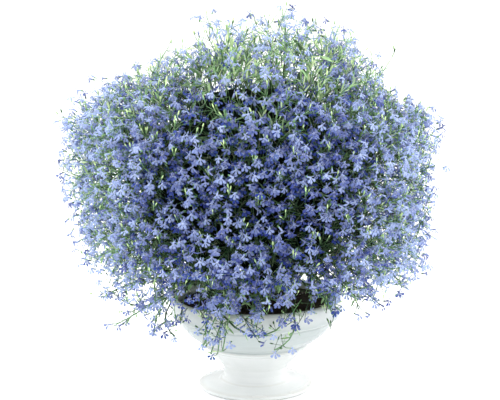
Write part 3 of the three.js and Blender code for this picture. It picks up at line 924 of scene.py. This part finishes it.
def add_shaded_heart(bm, ways, own):
    """The inside of a leafy stem's share of the plant, rough all over: a mass for the dense leaves there,
    which carries their painted shade.
    """
    for vert in bmesh.ops.create_icosphere(bm, subdivisions=4, radius=1)["verts"]:
        way = vert.co.normalized()
        azimuth = math.atan2(way.y, way.x)
        t = heart_place(math.asin(max(-1, min(1, way.z))))
        place = mound_point(t, azimuth, (94 + 12 * looseness(t, azimuth)) * MM)
        rough = noise.noise(place * 38) * 9 * MM + noise.noise(place * 110) * 4 * MM
        vert.co = place + way * rough
        wide = ease(math.hypot(place.x, place.y), 0.05, 0.15)
        vert.co.z = max(vert.co.z, 0.148 + 0.042 * wide + 0.008 * noise.noise(place * 60))
    for other in ways:
        if other is own:
            continue
        border = (own.normalized() - other.normalized()).normalized()
        cut = bmesh.ops.bisect_plane(
            bm, geom=[*bm.verts, *bm.edges, *bm.faces], dist=1e-6, plane_co=CROWN + border * 1.5 * MM,
            plane_no=border, clear_inner=True,
        )
        edges = of_kind("BMEdge", cut["geom_cut"])
        if edges:
            bmesh.ops.holes_fill(bm, edges=edges, sides=0)
    bmesh.ops.triangulate(bm, faces=bm.faces[:])
    smooth(bm.faces)


def heart_place(elevation):
    """Where on the mound's profile a line from the crown at this elevation comes out."""
    def miss(t):
        p = profile_point(t)
        return abs(math.atan2(p.y - CROWN.z, p.x) - elevation)
    return min((k / 60 for k in range(61)), key=miss)


def plan_leaves(ways, count):
    """Places for leaves inside the mound, shared among the stems by the way that each stem fills."""
    units = [way.normalized() for way in ways]
    shares = [[] for _ in ways]
    for n, (t, azimuth) in enumerate(spiral(count, 0.9)):
        rng = seeded(31, n)
        depth = (42 + 52 * rng.random() ** 0.7) * (1 - 0.4 * (1 - ease(t, 0.1, 0.3))) * MM
        place = mound_point(t, azimuth, depth) + jitter(rng, 6 * MM)
        place.z = max(place.z, CROWN.z)
        if rng.random() >= 0.35 * (1 - ease(t, 0.10, 0.25)):
            way = place - CROWN
            stem = max(range(len(units)), key=lambda k: units[k].dot(way))
            shares[stem].append((place, t, azimuth, depth, rng))
    return shares


def add_inner_leaves(bm, stamps, leaf, full_length):
    """A leaf inside the mound, or a few where it is at the rim, in painted shade that is darker the deeper
    it sits, and paler as painted light where light falls.
    """
    place, t, azimuth, depth, rng = leaf
    at_rim = ease(t, 0.84, 0.94)
    # Painted light and shade in the leaf's tint: paler high up, on the open sides and at the rim, darker
    # deep inside.
    light_share = max(ease(place.z, 0.36, 0.43), 0.7 * daylight(t, azimuth), 0.7 * at_rim)
    shade = 1 - 0.95 * ease(depth, 44 * MM, 70 * MM) * (1 - at_rim)
    for _ in range(1 + round(3 * at_rim)):
        aim = mound_normal(t, azimuth) * 0.55 + jitter(rng, 0.8) + UP * 0.15
        length = full_length * rng.uniform(0.95, 1.6) * MM
        tint = (0.2 + light_share) * rng.random() ** (3 - 2.2 * light_share) * shade
        add_leaf(bm, stamps, place - aim.normalized() * length * 0.5, aim, length, tint, rng)


def add_stem(bm, stamps, way, leaves, rng):
    """The bare stem out of the soil, and the shoots that carry the leaves."""
    end = CROWN + way
    flat = Vector((way.x, way.y, 0)).normalized() * 46 * MM * Vector((way.x, way.y)).length / way.length
    root = flat + UP * 0.096
    bend = root.lerp(end, 0.25)
    bend.z = CROWN.z + 0.35 * (end.z - CROWN.z) + 0.012
    path = bezier(root, bend, end, 12)
    stamps.stem.follow(bm, path, (2.8 * MM, 1.6 * MM), (0.35, 0.2))
    for place, t, azimuth, *_ in leaves[::7]:
        start = path[rng.randint(6, 11)]
        middle = start.lerp(place, 0.5) + jitter(rng, 12 * MM)
        tip = place + mound_normal(t, azimuth) * 8 * MM
        stamps.shoot.follow(bm, bezier(start, middle, tip, 5), (1.1 * MM, 0.5 * MM), (0.1, 0.3))


# ---- Settings ----
def setting(kind, name, description, default, low, high, **more):
    return kind(name=name, description=description, default=default, min=low, max=high, **more)


def count(*words_and_numbers):
    return setting(bpy.props.IntProperty, *words_and_numbers)


def size(*words_and_numbers, **unit):
    return setting(bpy.props.FloatProperty, *words_and_numbers, **unit)


def colour(name, description, default):
    return setting(bpy.props.FloatVectorProperty, name, description, default, 0, 1, subtype="COLOR", size=3)


class LobeliaBowlSettings(bpy.types.PropertyGroup):
    """Sizes and colours of the bowl and the soil."""

    sides: count("Sides", "Steps around the bowl", 96, 16, 256)
    glaze: colour("Glaze", "Colour of the white glaze", (0.85, 0.86, 0.845))
    # The thick glaze colour is painted shade on the upper wall and rim band, and also the colour of the
    # glaze's random clouds.
    clouded_and_shaded_glaze: colour("Thick glaze", "Colour of the glaze where it is thick", (0.54, 0.59, 0.58))
    crumbs: count("Crumbs", "Crumbs on the soil", 320, 0, 2000)


class LobeliaPlantSettings(bpy.types.PropertyGroup):
    """Numbers, sizes and colours of the plant."""

    flower_count: count("Flowers", "Places for flowers on the mound", 10200, 100, 20000)
    flower_width: size("Flower width", "An open flower laid flat, in millimetres", 13.8, 8, 20)
    branch_count: count("Branches", "Flowering branches in the mound", 460, 50, 1200)
    strand_count: count("Strands", "Trailing strands over the rim", 24, 0, 200)
    leaves_per_branch: count("Leaves per branch", "Leaves on a flowering branch in full light", 6, 0, 20)
    buds_per_branch: count("Buds per branch", "Closed buds on a flowering branch", 4, 0, 10)
    inner_leaves: count("Inner leaves", "Places for leaves in the leafy stems", 3800, 100, 20000)
    leaf_length: size("Leaf length", "A full leaf, in millimetres", 17, 5, 40)
    # Petal colours: the deep one is also painted shade for the flowers in shadow, and the pale one also
    # painted light where light falls.
    deep_petal: colour("Deep petal", "Colour of the bluest petals", (0.020, 0.036, 0.26))
    pale_petal: colour("Pale petal", "Colour of the palest petals", (0.42, 0.53, 0.90))
    eye: colour("Eye", "Colour of the eye at the throat", (0.80, 0.85, 0.96))
    # Leaf colours: the dark one is painted shade for the leaves and stems in shadow, and the young one is
    # also painted light for those where light falls.
    shaded_leaf: colour("Dark leaf", "Colour of the old leaves and stems", (0.003, 0.012, 0.006))
    leaf: colour("Leaf", "Colour of most leaves and stems", (0.24, 0.46, 0.20))
    young_and_lit_leaf: colour("Young leaf", "Colour of the young leaves, stems and buds", (0.66, 0.86, 0.42))


class LobeliaStageSettings(bpy.types.PropertyGroup):
    """Floor, lights and camera."""

    floor_colour: colour("Floor", "Colour of the floor", (0.93, 0.935, 0.94))
    distance: size("Camera distance", "From the camera to the plant", 2.0, 0.5, 10, unit="LENGTH")
    elevation: size(
        "Camera elevation", "How far the camera looks down", math.radians(10), -math.pi / 2, math.pi / 2,
        subtype="ANGLE",
    )
    field_width: size("Field width", "What the picture takes in at the plant", 0.65, 0.1, 5, unit="LENGTH")


# ---- Operators ----
# The bowl's outline as radius and height in millimetres, up its outside and down its inside.
BOWL_PROFILE = (
    (72.0, 0.0), (75.4, 2.6), (74.6, 6.2), (60.0, 8.6), (47.5, 10.4), (45.6, 12.2), (42.2, 14.2),
    (41.6, 22.0), (43.2, 30.5), (48.4, 37.6), (56.0, 45.8), (63.4, 54.2), (68.6, 57.2), (69.6, 59.6),
    (68.2, 62.0), (80.6, 68.4), (92.0, 77.4), (99.0, 86.4), (102.4, 94.0), (104.4, 96.6), (109.8, 98.4),
    (111.6, 101.0), (111.9, 109.0), (111.6, 119.6), (109.6, 123.2), (106.6, 123.9), (103.6, 121.8),
    (101.0, 117.0), (98.0, 98.0), (86.0, 78.0), (63.0, 61.0), (46.0, 40.0), (8.0, 40.0), (8.0, 32.0),
    (34.0, 30.0), (35.5, 9.0), (62.5, 3.0), (62.5, 0.0),
)
# Heights of the edges where the glaze runs thin, in millimetres.
EDGE_HEIGHTS = (6.2, 12.2, 59.6, 98.4, 123.9)


def lathe(bm, sides, merged):
    """Turns the outline that the mesh holds about Z, closes its poles and turns its faces outward."""
    bmesh.ops.spin(
        bm, geom=bm.verts[:] + bm.edges[:], cent=(0, 0, 0), axis=(0, 0, 1), angle=2 * math.pi,
        steps=sides, use_merge=True,
    )
    bmesh.ops.remove_doubles(bm, verts=bm.verts[:], dist=merged)
    bmesh.ops.recalc_face_normals(bm, faces=bm.faces[:])
    smooth(bm.faces)


class LOBELIA_OT_bowl(bpy.types.Operator):
    """Build the glazed pedestal bowl"""

    bl_idname = "lobelia.bowl"
    bl_label = "Glazed bowl"

    def execute(self, context):
        settings = context.scene.lobelia_bowl
        bm = bmesh.new()
        verts = [bm.verts.new((r * MM, 0, z * MM)) for r, z in BOWL_PROFILE]
        edges = [bm.edges.new(pair) for pair in zip(verts, verts[1:] + verts[:1])]
        bmesh.ops.bevel(
            bm, geom=verts + edges, offset=0.9 * MM, affect="VERTICES", segments=2, profile=0.5, material=-1,
            clamp_overlap=True,
        )
        lathe(bm, settings.sides, 1e-6)
        edge = bm.verts.layers.float.new("edge")
        for vert in bm.verts:
            outside = math.hypot(vert.co.x, vert.co.y) > 40 * MM
            near = min(abs(vert.co.z / MM - height) for height in EDGE_HEIGHTS)
            vert[edge] = max(0.0, 1 - near / 1.6) if outside else 0.0
        piece = make_piece("glazed_bowl", bm, [glaze_material(settings)], "pot")
        piece.data.set_sharp_from_angle(angle=math.radians(50))
        return {"FINISHED"}


# The soil in millimetres: its top in the middle, how far it dips towards its radius, and its side below.
SOIL_TOP = 118
SOIL_DIP = 4
SOIL_RADIUS = 99
SOIL_WALL = ((98.2, 113.6), (97.2, 97.5), (85.3, 78.4), (62.3, 61.4), (45.5, 40.5), (0.0, 40.5))
SOIL_ROUGH_ABOVE = 112 * MM


class LOBELIA_OT_soil(bpy.types.Operator):
    """Fill the bowl with potting soil"""

    bl_idname = "lobelia.soil"
    bl_label = "Potting soil"

    def execute(self, context):
        settings = context.scene.lobelia_bowl
        bm = new_pattern()
        surface = [(r, SOIL_TOP - SOIL_DIP * (r / SOIL_RADIUS) ** 2) for r in range(0, 97, 4)]
        verts = [bm.verts.new((r * MM, 0, z * MM)) for r, z in (*surface, *SOIL_WALL)]
        for pair in zip(verts, verts[1:]):
            bm.edges.new(pair)
        lathe(bm, 96, 1e-5)
        for vert in bm.verts:
            if vert.co.z > SOIL_ROUGH_ABOVE:
                vert.co.z += (noise.noise(vert.co * 90) * 1.8 + noise.noise(vert.co * 260)) * MM
        crumb = Stamp(crumb_pattern())
        rng = seeded(21, 1)
        for n in range(settings.crumbs):
            radius, angle = 94 * MM * math.sqrt(rng.random()), rng.uniform(0, 2 * math.pi)
            size = rng.uniform(0.7, 2.6) * MM
            height = (SOIL_TOP - 0.8) * MM - SOIL_DIP * MM * (radius / (SOIL_RADIUS * MM)) ** 2
            place = Vector((radius * math.cos(angle), radius * math.sin(angle), height))
            shape = Matrix.Diagonal((1, rng.uniform(0.6, 1), rng.uniform(0.5, 0.9), 1))
            turn = Matrix.Rotation(rng.uniform(0, 6.28), 4, jitter(rng).normalized())
            first = len(bm.faces)
            crumb.place(bm, place, turn @ shape, size, 0.0)
            if n % 5 == 0:
                bm.faces.ensure_lookup_table()
                for face in bm.faces[first:]:
                    face.material_index = 1
        bpy.data.meshes.remove(crumb.mesh)
        make_piece("potting_soil", bm, [soil_material(), grit_material()], "soil")
        return {"FINISHED"}


class LOBELIA_OT_leafy_stems(bpy.types.Operator):
    """Grow the leafy stems that fill the inside of the mound"""

    bl_idname = "lobelia.leafy_stems"
    bl_label = "Leafy stems"

    def execute(self, context):
        settings = context.scene.lobelia_plant
        stamps = Stamps(settings)
        materials = [heart_shade_material(), green_material("lobelia_leaf", settings, 0.55)]
        ways = stem_directions()
        for n, (way, leaves) in enumerate(zip(ways, plan_leaves(ways, settings.inner_leaves))):
            bm = new_pattern()
            add_shaded_heart(bm, ways, way)
            add_stem(bm, stamps, way, leaves, seeded(32, n))
            for leaf in leaves:
                add_inner_leaves(bm, stamps, leaf, settings.leaf_length)
            name = f"leafy_stem_{n + 1:02d}"
            make_piece(name + "_foliage", bm, materials, name)
        stamps.remove()
        return {"FINISHED"}


class LOBELIA_OT_flower_sprays(bpy.types.Operator):
    """Cover the mound with flowering sprays"""

    bl_idname = "lobelia.flower_sprays"
    bl_label = "Flower sprays"

    def execute(self, context):
        settings = context.scene.lobelia_plant
        stamps = Stamps(settings)
        materials = [petal_material(settings), green_material("lobelia_stem", settings, 0.5)]
        for spray in plan_plant(settings):
            bm = new_pattern()
            for branch in spray.branches:
                add_branch(bm, stamps, branch, settings, seeded(41, branch.number))
            make_piece(spray.name + "_blooms", bm, materials, spray.name)
        stamps.remove()
        return {"FINISHED"}


# Each light's name, place and size in metres, power in watts, and colour.
LIGHTS = (
    ("right", (1.75, 0.1, 1.5), 0.9, 22, (1.0, 0.99, 0.97)),
    ("left", (-1.75, 0.0, 1.9), 0.9, 36, (0.98, 0.99, 1.0)),
    ("front", (1.2, -1.9, 0.5), 1.2, 4, (1.0, 1.0, 1.0)),
)
# What the lights and the camera look at, and the width of the camera's sensor in millimetres.
LIT_PLACE = Vector((0, 0, 0.25))
SEEN_PLACE = Vector((-0.0075, 0, 0.25))
SENSOR_WIDTH = 36


def add_aimed(name, data, place, target):
    """Adds a light or a camera at a place, turned to its target."""
    made = add_object(name, data)
    made.location = place
    made.rotation_euler = (target - place).to_track_quat("-Z", "Y").to_euler()
    return made


class LOBELIA_OT_stage(bpy.types.Operator):
    """Set up the floor, the lights and the camera"""

    bl_idname = "lobelia.stage"
    bl_label = "Stage"

    def execute(self, context):
        settings = context.scene.lobelia_stage
        scene = context.scene
        bm = bmesh.new()
        bmesh.ops.create_circle(bm, cap_ends=True, segments=64, radius=14)
        add_object("floor", finished_mesh("floor", bm, floor_material(settings)))

        world = bpy.data.worlds.new("studio")
        scene.world = world
        world.use_nodes = True
        sky = NodeTree(world.node_tree)
        x, y, z = sky.parts(sky.node("TexCoord").outputs["Generated"])
        light = 0.66 + z.positive() * 0.44 + y.positive() * 0.08 + abs(x) * 0.50 + x.positive() * 0.30
        strength = light + sky.seen_by_camera() * (1.1 - light)
        glow = sky.node("Background", {}, {"Color": (0.97, 0.985, 1.0), "Strength": strength})
        sky.node("OutputWorld", {}, {"Surface": glow.outputs[0]})
        for name, place, size, power, colour in LIGHTS:
            light = bpy.data.lights.new(name, "AREA")
            light.size = size
            light.energy = power
            light.color = colour
            add_aimed(name, light, Vector(place), LIT_PLACE)

        lens = bpy.data.cameras.new("camera")
        lens.sensor_width = SENSOR_WIDTH
        lens.lens = SENSOR_WIDTH * settings.distance / settings.field_width
        lens.clip_end = 50
        tilt = settings.elevation
        place = SEEN_PLACE + Vector((0, -math.cos(tilt), math.sin(tilt))) * settings.distance
        scene.camera = add_aimed("camera", lens, place, SEEN_PLACE)
        scene.view_settings.view_transform = "Standard"
        return {"FINISHED"}


class LOBELIA_PT_panel(bpy.types.Panel):
    """Lists the parts of the plant and their settings"""

    bl_label = "Lobelia"
    bl_idname = "LOBELIA_PT_panel"
    bl_space_type = "VIEW_3D"
    bl_region_type = "UI"
    bl_category = "Lobelia"

    def draw(self, context):
        layout = self.layout
        for operator in OPERATORS:
            layout.operator(operator.bl_idname)
        for group, name in SETTINGS:
            box = layout.box()
            for key in group.__annotations__:
                box.prop(getattr(context.scene, name), key)


SETTINGS = (
    (LobeliaBowlSettings, "lobelia_bowl"),
    (LobeliaPlantSettings, "lobelia_plant"),
    (LobeliaStageSettings, "lobelia_stage"),
)
OPERATORS = (
    LOBELIA_OT_bowl,
    LOBELIA_OT_soil,
    LOBELIA_OT_leafy_stems,
    LOBELIA_OT_flower_sprays,
    LOBELIA_OT_stage,
)


def register():
    for group, name in SETTINGS:
        bpy.utils.register_class(group)
        setattr(bpy.types.Scene, name, bpy.props.PointerProperty(type=group))
    for cls in (*OPERATORS, LOBELIA_PT_panel):
        bpy.utils.register_class(cls)


def unregister():
    for cls in (LOBELIA_PT_panel, *reversed(OPERATORS)):
        bpy.utils.unregister_class(cls)
    for group, name in reversed(SETTINGS):
        delattr(bpy.types.Scene, name)
        bpy.utils.unregister_class(group)


def main():
    register()
    bpy.ops.lobelia.bowl()
    bpy.ops.lobelia.soil()
    bpy.ops.lobelia.leafy_stems()
    bpy.ops.lobelia.flower_sprays()
    bpy.ops.lobelia.stage()


if __name__ == "__main__":
    main()
